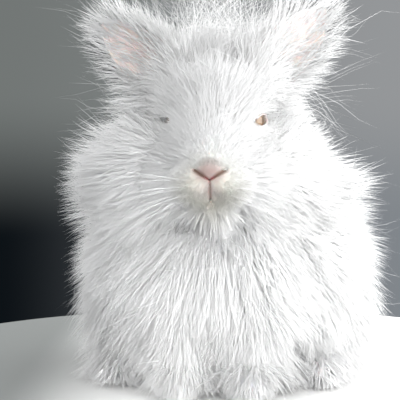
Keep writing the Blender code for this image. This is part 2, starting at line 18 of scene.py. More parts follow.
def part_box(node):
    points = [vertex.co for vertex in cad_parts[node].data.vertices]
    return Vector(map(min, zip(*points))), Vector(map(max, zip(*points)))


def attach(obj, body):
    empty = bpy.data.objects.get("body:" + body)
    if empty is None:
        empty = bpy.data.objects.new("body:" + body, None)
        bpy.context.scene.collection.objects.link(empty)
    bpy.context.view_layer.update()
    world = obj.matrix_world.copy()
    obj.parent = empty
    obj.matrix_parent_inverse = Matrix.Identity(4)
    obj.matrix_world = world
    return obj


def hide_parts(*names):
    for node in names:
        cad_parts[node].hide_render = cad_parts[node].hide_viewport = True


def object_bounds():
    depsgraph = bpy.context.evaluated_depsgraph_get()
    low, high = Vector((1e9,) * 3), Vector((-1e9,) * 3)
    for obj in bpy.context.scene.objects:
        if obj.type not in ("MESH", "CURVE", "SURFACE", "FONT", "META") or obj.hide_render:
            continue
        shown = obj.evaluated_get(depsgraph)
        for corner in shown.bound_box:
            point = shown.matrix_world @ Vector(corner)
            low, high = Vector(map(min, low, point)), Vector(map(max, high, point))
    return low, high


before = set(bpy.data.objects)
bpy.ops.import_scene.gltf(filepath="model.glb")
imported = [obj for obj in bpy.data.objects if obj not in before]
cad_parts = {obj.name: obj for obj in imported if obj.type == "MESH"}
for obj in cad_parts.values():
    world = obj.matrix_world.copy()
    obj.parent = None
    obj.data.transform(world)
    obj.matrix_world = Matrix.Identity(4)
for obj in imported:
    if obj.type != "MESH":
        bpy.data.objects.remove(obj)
CAD_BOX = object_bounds()
MM = 0.001
SEED = 11
rng = np.random.default_rng(SEED)
seed_set(SEED)

# The solids' driving sizes. Masses and features are shares of these, or millimetres in their frame.
TRUNK_BOX = Vector((168, 236, 120)) * MM
SKULL_BOX = Vector((42, 70, 46)) * MM
EYE_SPAN = 35.6 * MM
EYE_RADIUS = 6.4 * MM
EAR_LENGTH = 53 * MM
EAR_WIDTH = 26 * MM
EAR_THICKNESS = 1.8 * MM

HEAD_TURN = Matrix.Translation(Vector((3.6, -60, 132)) * MM) @ Matrix.Rotation(math.radians(-5), 4, "Z")
TRUNK_TURN = Matrix.Translation(Vector((8.9, 0, 0)) * MM) @ Matrix.Rotation(math.radians(-5), 4, "Z")
EYE_LOW, EYE_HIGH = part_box("eye_left")
SETTLED = Matrix.Translation((EYE_LOW + EYE_HIGH) / 2 - HEAD_TURN @ Vector((EYE_SPAN / 2, 0, 0)))
HEAD = SETTLED @ HEAD_TURN
TRUNK = SETTLED @ TRUNK_TURN

# Each mass of the body under its wool: centre and radii as shares of the trunk's or the skull's box, its
# pitch in degrees, and the millimetres by which it lies inside the solid's mass.
TRUNK_MASSES = {
    "rump": ((0, 0.26, 0.46), (0.33, 0.195, 0.39), 0, 6),
    "belly": ((0, 0.09, 0.46), (0.36, 0.24, 0.37), 0, 6),
    "chest": ((0, -0.10, 0.53), (0.31, 0.165, 0.36), 0, 7),
    "shoulders": ((0, -0.06, 0.74), (0.335, 0.16, 0.26), 0, 8),
    "nape": ((0, -0.13, 0.86), (0.31, 0.12, 0.20), 0, 7),
    "tail_bud": ((0, 0.475, 0.31), (0.085, 0.06, 0.13), 0, 3),
}
TRUNK_PAIRS = {
    "haunch": ((0.215, 0.145, 0.33), (0.165, 0.17, 0.28), 0, 5),
    "hind_foot": ((0.30, -0.025, 0.058), (0.062, 0.145, 0.082), 0, 1),
    "foreleg": ((0.101, -0.215, 0.24), (0.062, 0.046, 0.25), 0, 2),
    "fore_paw": ((0.101, -0.255, 0.05), (0.055, 0.064, 0.075), 0, 1),
}
HEAD_MASSES = {
    "skull": ((0, 0.11, 0.02), (0.49, 0.385, 0.435), 0, 1),
    "muzzle": ((0, -0.20, -0.36), (0.38, 0.32, 0.30), 34, 0.5),
    "nose_pad": ((0, -0.49, -0.50), (0.17, 0.07, 0.12), 0, 0),
    "chin": ((0, -0.32, -0.80), (0.24, 0.15, 0.16), 0, 1),
    "jaw": ((0, -0.09, -0.61), (0.40, 0.285, 0.32), 0, 2),
    "ruff_core": ((0, 0.37, 0.0), (1.02, 0.20, 0.70), 0, 9),
    "crown": ((0, 0.24, 0.20), (0.57, 0.24, 0.39), 0, 5),
    "bridge": ((0, -0.19, -0.21), (0.34, 0.285, 0.305), 59, 0),
}
HEAD_PAIRS = {
    "whisker_pad": ((0.17, -0.41, -0.62), (0.23, 0.13, 0.19), 0, 0.5),
    "jowl": ((0.31, -0.06, -0.57), (0.31, 0.27, 0.33), 0, 2),
    "cheek": ((0.60, 0.22, -0.50), (0.50, 0.24, 0.47), 0, 8),
    "ear_mound": ((0.38, 0.23, 0.40), (0.21, 0.115, 0.20), 0, 1.5),
}
SKIN_VOXEL = 1.3 * MM
SKIN_SMOOTHING = 14
FINE_SMOOTHING = 3
# Where the skin's mesh is made finer, in millimetres in the head's frame: in front of one plane and above
# another, and round the nose and each eye.
FACE_FRONT = -10
FACE_FOOT = -58
FACE_FINE = 17
EYE_FINE = 12

EARS = {
    "left": {"root": (18, 17, 20), "tip": (58, 28, 62), "open": (0.25, -0.95, -0.2)},
    "right": {"root": (-18, 17, 19), "tip": (-63, 22, 53), "open": (-0.25, -0.95, -0.2)},
}
EAR_STATIONS = (0.0, 0.15, 0.35, 0.6, 0.8, 0.93, 1.0)
EAR_WIDTHS = (0.62, 0.86, 1.0, 0.93, 0.66, 0.36, 0.1)
EAR_ROLL = (100, 88, 72, 60, 50, 42, 36)
EAR_BARE = {"left": 0.62, "right": 0.4}
EAR_ROWS = 40
EAR_COLUMNS = 26

EYE_AXIS = Vector((0.78, -0.62, 0.08)).normalized()
PUPIL_AXIS = Vector((0.95, -0.30, 0.06)).normalized()
# Half the length and height of the opening between the lids and of its sight from in front, the room that
# each eye's wool leaves them, and the depths between which it does.
LID_HALF = (5.3, 2.7)
SIGHT_HALF = (4.4, 3.2)
EYE_ROOM = {1: 1.0, -1: 0.46}
LID_DEPTHS = (3, 12)
SIGHT_DEPTHS = (0, 40)
TRIM_SAMPLES = 13
LID_LIFT = 0.9
LID_SINK = 1.4
LID_BULGE = 1.2
LID_SLANT = math.radians(20)
LID_POINTS = 48
LID_SHARPNESS = 0.35
LID_RIM_RADIUS = 0.5 * MM
LID_RIM_LIFT = 0.35 * MM
LID_WOOL = (1.05, 2.3)

# The nose and mouth, in millimetres in the head's frame: half the width and height of their colour and of the
# bare places there, and lines as start and end across and up, the width at each end, how deep they are sunk
# and how dark the painted shade in them is. The last line is painted shade below the lower lip.
NOSE = Vector((0, -38.9, -24.8))
NOSE_HALF = (7.5, 4.2)
LIPS_HALF = (1.9, 5.5)
LIPS_HEIGHT = -32
LIPS_FLESH = 0.7
NOSE_BARE = (7, 2.8)
LIPS_BARE = (1.5, 5.5)
FACE_WOOL_BACK = -26
FACE_LINES = (
    ((0.3, -26.8), (6.9, -22.6), 0.4, 1.0, 2.0, 1.0),
    ((-0.3, -26.8), (-6.9, -22.6), 0.4, 1.0, 2.0, 1.0),
    ((0, -26.8), (0, -35.5), 0.42, 0.36, 1.2, 0.6),
    ((0, -35.5), (2.8, -38.8), 0.45, 0.6, 1.2, 0.35),
    ((0, -35.5), (-2.2, -38.6), 0.45, 0.6, 1.2, 0.35),
    ((0.2, -37.2), (0.3, -39.6), 1.0, 1.5, 0.6, 0.5),
)

# How deep a tuft is rooted, how many share a clump, how far they may pass the solids' box, and the least
# share of that reach that a hair drawn in keeps, so that the edge stays ragged.
ROOT_SINK = 0.8
CLUMP_SIZE = 9
FLOOR_CLEAR = 0.4 * MM
STRAY = 12 * MM
DRAWN_IN = 0.8
# How often the wool's sway comes and goes in a metre, and how far it changes length and lie.
LOCKS_PER_METRE = 75
LENGTH_SWAY = 0.4
LIE_SWAY = 0.45
# Wool that faces the floor, below this height, is hidden and so is kept sparse.
UNDERSIDE = 45 * MM
UNDERSIDE_SHARE = 0.1
BELLY_FRONT = -30 * MM
# How far a tuft is shaded as the coat it lies in rather than as a single hair, which keeps the wool soft. The
# face's short fur shows its hairs more.
SOFTNESS = 0.85
FACE_SOFTNESS = 0.45
# Each tuft's patch in the unwrap, and the most tufts in one piece.
UV_PATCH = 0.003
COAT_LIMIT = 16000


def smooth_step(low, high, values):
    share = np.clip((values - low) / (high - low), 0, 1)
    return share * share * (3 - 2 * share)


def unit(vectors):
    return vectors / np.maximum(np.linalg.norm(vectors, axis=-1, keepdims=True), 1e-9)


def moved(matrix, points):
    """Every point of an array taken through a matrix."""
    return points @ np.array(matrix.to_3x3()).T + np.array(matrix.translation)


def new_object(name, mesh):
    obj = bpy.data.objects.new(name, mesh)
    bpy.context.scene.collection.objects.link(obj)
    return obj


def object_from_bmesh(name, bm):
    mesh = bpy.data.meshes.new(name)
    bm.to_mesh(mesh)
    bm.free()
    return new_object(name, mesh)


def bake(obj):
    """Applies the object's modifiers."""
    graph = bpy.context.evaluated_depsgraph_get()
    mesh = bpy.data.meshes.new_from_object(obj.evaluated_get(graph))
    obj.modifiers.clear()
    obj.data = mesh
    return obj


def read(items, key, width=3, kind=float):
    """One value of every item of a mesh, as the rows of an array."""
    values = np.empty(len(items) * width, kind)
    items.foreach_get(key, values)
    return values.reshape(-1, width)


def vertices_of(obj):
    return read(obj.data.vertices, "co")


def place_vertices(obj, places):
    obj.data.vertices.foreach_set("co", places.ravel())
    obj.data.update()


def set_share(obj, name, values):
    """Stores a number from 0 to 1 at each vertex, for the material to read."""
    layer = obj.data.attributes.new(name, "FLOAT", "POINT")
    layer.data.foreach_set("value", values)


def unwrap(obj):
    """Unwraps the object's own shape into its OFBake map."""
    obj.data.uv_layers.new(name="OFBake")
    bpy.context.view_layer.objects.active = obj
    obj.select_set(True)
    bpy.ops.object.mode_set(mode="EDIT")
    bpy.ops.mesh.select_all(action="SELECT")
    bpy.ops.uv.smart_project(angle_limit=math.radians(66), island_margin=0.002)
    bpy.ops.object.mode_set(mode="OBJECT")
    obj.select_set(False)


def eye_frame(side):
    """The eye's own frame: +Z out between its lids, +X along their length."""
    centre = HEAD @ Vector((side * EYE_SPAN / 2, 0, 0))
    out = HEAD.to_3x3() @ Vector((side * EYE_AXIS.x, EYE_AXIS.y, EYE_AXIS.z))
    along = Vector((0, 0, 1)).cross(out).normalized()
    turn = Matrix((along, out.cross(along), out)).transposed().to_4x4()
    return Matrix.Translation(centre) @ turn @ Matrix.Rotation(side * LID_SLANT, 4, "Z")


def ear_frame(side):
    """The ear's own frame: +Z along it, -Y out of its cup, with its root at the origin."""
    ear = EARS[side]
    root, tip = (Vector(ear[key]) * MM for key in ("root", "tip"))
    along = (tip - root).normalized()
    back = -Vector(ear["open"])
    back = (back - along * back.dot(along)).normalized()
    turn = Matrix((back.cross(along), back, along)).transposed().to_4x4()
    return HEAD @ Matrix.Translation(root) @ turn


def add_masses(bm, place, box, masses, sides):
    for centre, radii, pitch, inside in masses.values():
        for side in sides:
            at = Vector((side * centre[0] * box.x, centre[1] * box.y, centre[2] * box.z))
            size = Vector(radii) * box - Vector((inside,) * 3) * MM
            shape = Matrix.Rotation(math.radians(pitch), 4, "X") @ Matrix.Diagonal((*size, 1))
            matrix = place @ Matrix.Translation(at) @ shape
            bmesh.ops.create_uvsphere(bm, u_segments=48, v_segments=32, radius=1, matrix=matrix)


def refine(obj, chosen):
    """Splits the faces round the chosen vertices, so that the face carries finer forms."""
    bm = bmesh.new()
    bm.from_mesh(obj.data)
    near = chosen(np.array([vertex.co for vertex in bm.verts]))
    edges = [edge for edge in bm.edges if all(near[vertex.index] for vertex in edge.verts)]
    bmesh.ops.subdivide_edges(bm, edges=edges, cuts=1, use_grid_fill=True)
    bm.to_mesh(obj.data)
    bm.free()


def near_face(points):
    place = moved(HEAD.inverted(), points) / MM
    return (place[:, 1] < FACE_FRONT) & (place[:, 2] > FACE_FOOT) | near_eyes(points, EYE_FINE + 2)


def near_eyes(points, reach):
    places = [np.array(eye_frame(side) @ Vector((0, 0, EYE_RADIUS))) for side in (1, -1)]
    return np.min([np.linalg.norm(points - place, axis=1) for place in places], axis=0) < reach * MM


def near_features(points):
    nose = np.array(HEAD @ ((NOSE + Vector((0, 0, -7))) * MM))
    return (np.linalg.norm(points - nose, axis=1) < FACE_FINE * MM) | near_eyes(points, EYE_FINE)


def line_place(across, up, start, end):
    """How far points seen from the front lie from a line, and how far along it."""
    start, end = np.array(start), np.array(end)
    run = end - start
    share = np.clip(((across - start[0]) * run[0] + (up - start[1]) * run[1]) / run.dot(run), 0, 1)
    return np.hypot(across - start[0] - share * run[0], up - start[1] - share * run[1]), share


def lid_height(across):
    """Half the height of the opening between the lids, at a share of its half-length."""
    slope = np.sqrt(np.clip(1 - across ** 2, 0, 1))
    return slope ** (1 + LID_SHARPNESS)


def bare_spot(across, up, half):
    """A soft-edged oval: 1 in its middle, 0 well outside it."""
    return np.exp(-((across / half[0]) ** 2 + (up / half[1]) ** 2) ** 1.5)


def carve_face(skin):
    """Presses the nostrils and the mouth's lines into the skin and paints shade into them, and shapes the
    lids over the eyes.
    """
    place = moved(HEAD.inverted(), vertices_of(skin)) / MM
    across, depth, up = place.T
    front = smooth_step(-24, -29, depth)
    painted_shade = np.zeros(len(place))
    # Each groove is sunk and also darkened with painted shade.
    for start, end, first_width, last_width, sunk, darkness in FACE_LINES:
        away, along = line_place(across, up, start, end)
        groove = np.exp(-(away / (first_width + (last_width - first_width) * along)) ** 2) * front
        place[:, 1] += sunk * groove
        painted_shade = np.maximum(painted_shade, groove * darkness)
    flesh = np.maximum(bare_spot(across, up - NOSE.z - 1.0, NOSE_HALF) * front,
                       bare_spot(across, up - LIPS_HEIGHT, LIPS_HALF) * front * LIPS_FLESH)
    points = moved(HEAD, place * MM)
    for side in (1, -1):
        view = eye_frame(side)
        seen = moved(view.inverted(), points) / MM
        away = np.linalg.norm(seen, axis=1)
        lid = EYE_RADIUS / MM + LID_LIFT
        facing = seen[:, 2] > -1
        over = seen * (lid / away)[:, None]
        height = lid_height(over[:, 0] / LID_HALF[0]) * LID_HALF[1]
        opened = facing & (away < lid + 2) & (np.abs(over[:, 1]) < height)
        goal = (away + lid + np.sqrt((away - lid) ** 2 + LID_BULGE)) / 2
        goal = np.where(facing & (away < lid + 5), goal, away)
        goal = np.where(opened, lid - LID_LIFT - LID_SINK, goal)
        points = moved(view, seen * (goal / away)[:, None] * MM)
        rim = np.exp(-(((over[:, 0] / (LID_HALF[0] + 1)) ** 2 + (over[:, 1] / (LID_HALF[1] + 1)) ** 2) ** 3))
        flesh = np.maximum(flesh, rim * facing * 0.35)
    place_vertices(skin, points)
    # The flesh colour of the nose pad, lips and lids, and the painted shade in the grooves.
    set_share(skin, "flesh", flesh)
    set_share(skin, "painted_shade", painted_shade)


def lid_rim(side):
    """The moist edge of the lids, a thin tube that follows their opening over the eye, with painted shade
    that deepens towards the inner corner.
    """
    curve = bpy.data.curves.new("lid_rim", "CURVE")
    curve.dimensions = "3D"
    curve.bevel_depth = LID_RIM_RADIUS
    curve.bevel_resolution = 3
    rim = curve.splines.new("POLY")
    rim.points.add(LID_POINTS - 1)
    rim.use_cyclic_u = True
    for index, point in enumerate(rim.points):
        angle = 2 * math.pi * index / LID_POINTS
        across = math.cos(angle)
        up = float(lid_height(np.array(across))) * math.copysign(1, math.sin(angle))
        across, up = across * LID_HALF[0] * MM, up * LID_HALF[1] * MM
        out = math.sqrt((EYE_RADIUS + LID_RIM_LIFT) ** 2 - across ** 2 - up ** 2)
        point.co = (across, up, out, 1)
    tube = new_object("lid_rim", curve)
    mesh = bpy.data.meshes.new_from_object(tube.evaluated_get(bpy.context.evaluated_depsgraph_get()))
    mesh.transform(eye_frame(side))
    bpy.data.objects.remove(tube)
    rim = new_object("lid_rim", mesh)
    along = moved(eye_frame(side).inverted(), vertices_of(rim))[:, 0] / MM / LID_HALF[0]
    set_share(rim, "flesh", np.full(len(mesh.vertices), 0.4))
    # Painted shade along the rim, deepest at the corner nearest the nose.
    set_share(rim, "painted_shade", 0.2 + 0.8 * smooth_step(0.35, 0.9, -side * along))
    return rim


def join(target, others):
    """Joins meshes into the first one."""
    with bpy.context.temp_override(active_object=target, selected_editable_objects=[target, *others]):
        bpy.ops.object.join()
    return target


def build_skin():
    """One skin over the whole animal, finest on the face."""
    bm = bmesh.new()
    for place, box, masses, sides in (
        (TRUNK, TRUNK_BOX, TRUNK_MASSES, (1,)), (TRUNK, TRUNK_BOX, TRUNK_PAIRS, (1, -1)),
        (HEAD, SKULL_BOX, HEAD_MASSES, (1,)), (HEAD, SKULL_BOX, HEAD_PAIRS, (1, -1)),
    ):
        add_masses(bm, place, box, masses, sides)
    skin = object_from_bmesh("skin", bm)
    remesh = skin.modifiers.new("skin", "REMESH")
    remesh.mode = "VOXEL"
    remesh.voxel_size = SKIN_VOXEL
    skin.modifiers.new("soften", "SMOOTH").iterations = SKIN_SMOOTHING
    bake(skin)
    refine(skin, near_face)
    refine(skin, near_features)
    skin.modifiers.new("soften", "SMOOTH").iterations = FINE_SMOOTHING
    bake(skin)
    points = vertices_of(skin)
    points[:, 2] = np.maximum(points[:, 2], FLOOR_CLEAR)
    place_vertices(skin, points)
    carve_face(skin)
    skin = join(skin, [lid_rim(1), lid_rim(-1)])
    skin.data.shade_smooth()
    unwrap(skin)
    return skin


def build_ear(side):
    """The ear's thin cup, rolled about its length."""
    bm = bmesh.new()
    bmesh.ops.create_grid(bm, x_segments=EAR_COLUMNS, y_segments=EAR_ROWS, size=0.5)
    for vertex in bm.verts:
        along, across = vertex.co.y + 0.5, 2 * vertex.co.x
        half = np.interp(along, EAR_STATIONS, EAR_WIDTHS) * EAR_WIDTH / 2
        roll = math.radians(np.interp(along, EAR_STATIONS, EAR_ROLL))
        radius = half / math.sin(min(roll, math.pi / 2))
        angle = across * roll
        depth = radius * (math.cos(angle) - math.cos(roll))
        vertex.co = (radius * math.sin(angle), depth - 0.35 * half, along * EAR_LENGTH - 2 * MM)
    bmesh.ops.transform(bm, matrix=ear_frame(side), verts=bm.verts)
    ear = object_from_bmesh("ear_" + side + "_cup", bm)
    shell = ear.modifiers.new("thickness", "SOLIDIFY")
    shell.thickness = EAR_THICKNESS
    shell.offset = 0
    bake(ear)
    back = np.array(ear_frame(side).to_3x3() @ Vector((0, 1, 0)))
    set_share(ear, "inner", smooth_step(0.15, -0.35, read(ear.data.vertices, "normal") @ back))
    ear.data.shade_smooth()
    unwrap(ear)
    return ear


def build_eye(side, name):
    bm = bmesh.new()
    matrix = eye_frame(side) @ Matrix.Diagonal((*[EYE_RADIUS] * 3, 1))
    bmesh.ops.create_uvsphere(bm, u_segments=64, v_segments=40, radius=1, matrix=matrix)
    eye = object_from_bmesh("eyeball_" + name, bm)
    points = vertices_of(eye)
    centre = np.array(HEAD @ Vector((side * EYE_SPAN / 2, 0, 0)))
    axis = np.array(HEAD.to_3x3() @ Vector((side * PUPIL_AXIS.x, PUPIL_AXIS.y, PUPIL_AXIS.z)))
    facing = (points - centre) @ axis / EYE_RADIUS
    set_share(eye, "facing", facing)
    eye.data.shade_smooth()
    unwrap(eye)
    return eye


# One kind of wool: its piece, the frame its rules are read in, where it grows, its length and width in
# millimetres, how far it stands off the skin at the root and at the tip, its droop, how closely it clumps,
# how many tufts a square centimetre and which way it lies. The rules take arrays of places in millimetres.
Wool = namedtuple("Wool", "piece frame where length width rise stand droop clump dense lie")


def away_from_nose(x, y, z):
    return x, y - NOSE.y + 5, z - NOSE.z + 2


def face_length(x, y, z):
    from_nose = np.sqrt(x ** 2 + (y - NOSE.y) ** 2 + (z - NOSE.z) ** 2)
    beside = np.maximum(smooth_step(5, 14, abs(x)), smooth_step(-16, 12, z))
    long = smooth_step(9, 32, from_nose) * (0.3 + 0.7 * beside)
    return 2.6 + 0.17 * from_nose + 12 * long + 13 * smooth_step(-38, -44, z)


def temple_length(x, y, z):
    return 11 + (14 - 6 * smooth_step(-10, 10, x)) * smooth_step(-6, 20, y)


def nape_length(x, y, z):
    return 38 - 19 * smooth_step(0, 20, x) * smooth_step(-36, -4, z)


def cheek_length(x, y, z):
    return 14 + (20 - 11 * smooth_step(0, 25, x)) * smooth_step(-10, 10, y)


def crown_length(x, y, z):
    return 9 + 18 * smooth_step(4, 20, z) * smooth_step(-8, 10, y)


def lying(fan, back, up):
    """Wool that lies back and up by those shares, and fans out sideways over that many millimetres."""
    return lambda x, y, z: (x / fan, back, up)


def down_limb(middle, fan, back, up):
    """Wool that lies along a limb that far from the animal's middle, and fans out to both sides of it."""
    return lambda x, y, z: ((abs(x) - middle) * np.sign(x) / fan, back, up)


# The ruff's sides, with the length of their upper wool, which is short where the head turns towards it.
RUFF = (("left", 1, 19), ("right", -1, 41))
# The first kind whose place fits a root grows there.
WOOL = (
    Wool("face", HEAD, lambda x, y, z: (y < -29) & (z > -46) & (z < 10), face_length, 0.32,
         0.45, 0.22, 0.05, 0.25, 700, away_from_nose),
    Wool("brow", HEAD, lambda x, y, z: (y < -5) & (z > -41) & (z < 12) & (abs(x) < 22), face_length, 0.38,
         0.5, 0.34, 0.06, 0.4, 420, away_from_nose),
    Wool("crown", HEAD, lambda x, y, z: (z > 2) & (y < 30) & (abs(x) < 18), crown_length, 0.4,
         0.5, 0.4, 0.03, 0.45, 330, lying(22, 0.12, 1)),
    Wool("cheeks", HEAD, lambda x, y, z: (y < 24) & (z > -8), temple_length, 0.48,
         0.6, 0.5, 0.03, 0.45, 205, lambda x, y, z: (x / 14, 0.2, 0.1 + (z - 4) / 40)),
    Wool("cheeks", HEAD, lambda x, y, z: (y < 24) & (z > -46), cheek_length, 0.5,
         0.7, 0.55, 0.08, 0.45, 205, lying(15, 0.3, -0.35)),
    Wool("cheeks", HEAD, lambda x, y, z: (y < 24) & (z > -62), 26, 0.5,
         0.75, 0.4, 0.2, 0.5, 215, lying(36, -0.15, -1)),
    Wool("nape", HEAD, lambda x, y, z: (y > 18) & (z > -40), nape_length, 0.6,
         0.6, 0.45, 0.1, 0.5, 155, lying(14, 0.5, -0.4)),
    Wool("legs", TRUNK, lambda x, y, z: (z < 22) & (abs(x) > 36) & (y < 36), 23, 0.56,
         0.5, 0.25, 0.8, 0.45, 150, down_limb(50, 50, -0.5, -0.9)),
    Wool("legs", TRUNK, lambda x, y, z: (z < 14) & (y < -42), 10, 0.45,
         0.45, 0.25, 0.5, 0.4, 260, down_limb(17, 30, -0.5, -0.8)),
    Wool("legs", TRUNK, lambda x, y, z: (z < 50) & (y < -38) & (abs(x) < 34), 28, 0.52,
         0.6, 0.32, 0.3, 0.4, 210, down_limb(17, 30, -0.25, -1)),
    Wool("tail", TRUNK, lambda x, y, z: y > 98, 19, 0.6,
         0.5, 0.4, 0.1, 0.5, 120, lambda x, y, z: (x / 14, 0.8, (z - 30) / 25)),
    Wool("chest", TRUNK, lambda x, y, z: (y < -12) & (abs(x) < 38) & (z > 9), 38, 0.5,
         0.45, 0.3, 0.3, 0.45, 210, lying(50, -0.15, -1)),
    Wool("skirt", TRUNK, lambda x, y, z: (z < 62) & (z > 9), 46, 0.54,
         0.6, 0.2, 0.8, 0.5, 140, lambda x, y, z: (x / 200, y / 300, -1)),
    *[Wool(name, TRUNK, lambda x, y, z, side=side: (side * x >= 16) & (z > 84) & (y < 25), length, 0.6,
           0.8, 0.6, 0.2, 0.5, 150, lying(40, 0.15, -0.5)) for name, side, length in RUFF],
    *[Wool(name, TRUNK, lambda x, y, z, side=side: (side * x >= 16) & (z > 9), 42, 0.54,
           0.6, 0.4, 0.3, 0.5, 150, lying(70, 0.5, -0.9)) for name, side, _ in RUFF],
    Wool("back", TRUNK, lambda x, y, z: z > 9, 38, 0.56,
         0.45, 0.32, 0.1, 0.55, 150, lying(40, 1, -0.35)),
)
# Where the head's wool ends, how far borders are blurred, the roots tried in a square centimetre, and the
# least share of its length that a tuft may keep.
HEAD_FOOT = -62
HEAD_BACK = 42
BORDER_BLUR = 3
CANDIDATE_DENSITY = 640
LEAST_SHARE = 0.06
# The steps of a tuft's line, as shares of its length: few for short fur, more for long hairs that curve.
SHORT_STEPS = (0.45, 0.55)
WOOL_STEPS = (0.3, 0.36, 0.34)
WISP_STEPS = (0.18, 0.22, 0.22, 0.2, 0.18)
SHORT_PIECES = ("face", "brow", "legs")
# A tuft's width at shares of its length, how flat it is, and how far its flat side and its lie stray.
TAPER = ((0, 0.3, 0.66, 1), (0.55, 1, 0.72, 0))
TUFT_FLATNESS = 0.7
TUFT_TWIST = 0.3
LIE_STRAY = 0.13
# How far a hair bends, and how far it is pulled to its clump's first hair, with that pull's range and limit.
CURL = 0.16
CLUMP_PULL = 0.85
CLUMP_RANGE = (0.4, 1.1)
CLUMP_MOST = 0.95
# The wisps: their lowest root, the shortest wool round them, and how many more and longer the crest has.
WISP_COUNT = 3200
WISP_WIDTH = 0.2 * MM
WISP_HEIGHT = 50 * MM
WISP_WOOL = 14
WISP_CURL = 0.75
WISP_CLUMP = 0.9
CREST_SHARE = 6.0
CREST_GROWTH = 2.3
EAR_TUFTS = 4600
EAR_TUFT_WIDTH = 0.42 * MM
EAR_RULES = {"rise": 0.3, "stand": 0.15, "droop": 0.08, "clump": 0.5}
WHISKER_WIDTH = 0.13 * MM
WHISKER_LENGTHS = (34, 52)
WHISKER_ROWS = 4


def scatter(surface, count):
    """Random roots spread evenly over a mesh: places, ways out, and places in its unwrap."""
    mesh = surface.data
    mesh.calc_loop_triangles()
    corners, loops = (read(mesh.loop_triangles, key, kind=np.int32) for key in ("vertices", "loops"))
    outs = read(mesh.vertices, "normal")
    charts = read(mesh.uv_layers["OFBake"].uv, "vector", 2)
    points = vertices_of(surface)[corners]
    areas = np.linalg.norm(np.cross(points[:, 1] - points[:, 0], points[:, 2] - points[:, 0]), axis=1) / 2
    if count is None:
        count = int(areas.sum() * 10000 * CANDIDATE_DENSITY)
    chosen = rng.choice(len(corners), count, p=areas / areas.sum())
    first, second = rng.random((2, count))
    first, second = np.where(first + second > 1, (1 - first, 1 - second), (first, second))
    shares = np.stack((1 - first - second, first, second), axis=1)[:, :, None]
    roots = (points[chosen] * shares).sum(axis=1)
    ways_out = unit((outs[corners[chosen]] * shares).sum(axis=1))
    unwrapped = (charts[loops[chosen]] * shares).sum(axis=1)
    return roots, ways_out, unwrapped


def nearest_parents(roots, parents):
    tree = KDTree(len(parents))
    for index, point in enumerate(parents):
        tree.insert(point, index)
    tree.balance()
    return np.array([tree.find(point)[1] for point in roots])


def grow_paths(roots, outs, kind, lengths, lies, steps, curl=CURL):
    """Each tuft's line of points, from its sunk root along its lie, drawn together into clumps."""
    flat = unit(lies - outs * (lies * outs).sum(axis=1, keepdims=True) * (1 - kind["stand"][:, None]))
    flat = unit(flat + rng.normal(0, LIE_STRAY, flat.shape))
    rise, stand, droop = (kind[key][:, None] for key in ("rise", "stand", "droop"))
    start = unit(flat * (1 - rise) + outs * rise)
    end = unit(flat * (1 - stand) + outs * stand - np.array((0, 0, 1)) * droop)
    bend = rng.normal(0, curl, flat.shape) * 2
    line = [roots - outs * ROOT_SINK * MM]
    shares = np.cumsum((0,) + steps)
    for step, share in enumerate(steps):
        along = (shares[step] + shares[step + 1]) / 2
        turn = unit(start * (1 - along) + end * along + bend * along + rng.normal(0, curl / 3, flat.shape))
        line.append(line[-1] + turn * (lengths * share)[:, None])
    line = np.stack(line, axis=1)
    parents = np.arange(0, len(roots), CLUMP_SIZE)
    nearest = parents[nearest_parents(roots, roots[parents])]
    pull = CLUMP_PULL * smooth_step(-0.1, 0.9, shares)[None, :, None] * kind["clump"][:, None, None]
    pull = pull * rng.uniform(*CLUMP_RANGE, len(roots))[:, None, None]
    return line + (line[nearest] - line) * np.clip(pull, 0, CLUMP_MOST)


def sight_frame(side):
    """The line of sight to an eye from in front, with its origin in the eye's opening and +Z forward."""
    out = Vector((EYE_AXIS.x * side, EYE_AXIS.y, EYE_AXIS.z))
    middle = Vector((side * EYE_SPAN / 2, 0, 0)) + out * EYE_RADIUS
    return HEAD @ Matrix.Translation(middle) @ Matrix.Rotation(math.pi / 2, 4, "X")


def part_round_eyes(line):
    """Shortens the tufts that would cross the opening between the lids or the sight of it from in front."""
    samples = np.linspace(0, line.shape[1] - 1, TRIM_SAMPLES)
    whole = np.minimum(samples.astype(int), line.shape[1] - 2)
    part = (samples - whole)[None, :, None]
    points = (line[:, whole] * (1 - part) + line[:, whole + 1] * part).reshape(-1, 3)
    kept = np.ones(len(line))
    for side, room in EYE_ROOM.items():
        for view, half, depths in (
            (eye_frame(side), LID_HALF, LID_DEPTHS), (sight_frame(side), SIGHT_HALF, SIGHT_DEPTHS),
        ):
            seen = moved(view.inverted(), points) / MM
            reach = np.hypot(seen[:, 0] / half[0], seen[:, 1] / half[1]) / room
            over = ((seen[:, 2] > depths[0]) & (seen[:, 2] < depths[1]) & (reach < 1)).reshape(len(line), -1)
            first = np.where(over.any(axis=1), over.argmax(axis=1) / (TRIM_SAMPLES - 1), 1)
            kept = np.minimum(kept, np.maximum(first, 0.1))
    return line[:, :1] + (line - line[:, :1]) * kept[:, None, None]


def keep_in_reach(line):
    """Draws in, towards its root, each hair that would stray too far past the solids' box."""
    low = np.array(CAD_BOX[0]) - STRAY
    high = np.array(CAD_BOX[1]) + STRAY
    root = line[:, :1]
    run = line - root
    with np.errstate(divide="ignore", invalid="ignore"):
        room = np.where(run > 0, (high - root) / run, np.where(run < 0, (low - root) / run, np.inf))
    share = np.nanmin(room.reshape(len(line), -1), axis=1)
    share = np.where(share < 1, np.maximum(share * rng.uniform(DRAWN_IN, 1, len(line)), 0.1), 1)
    return root + run * share[:, None, None]


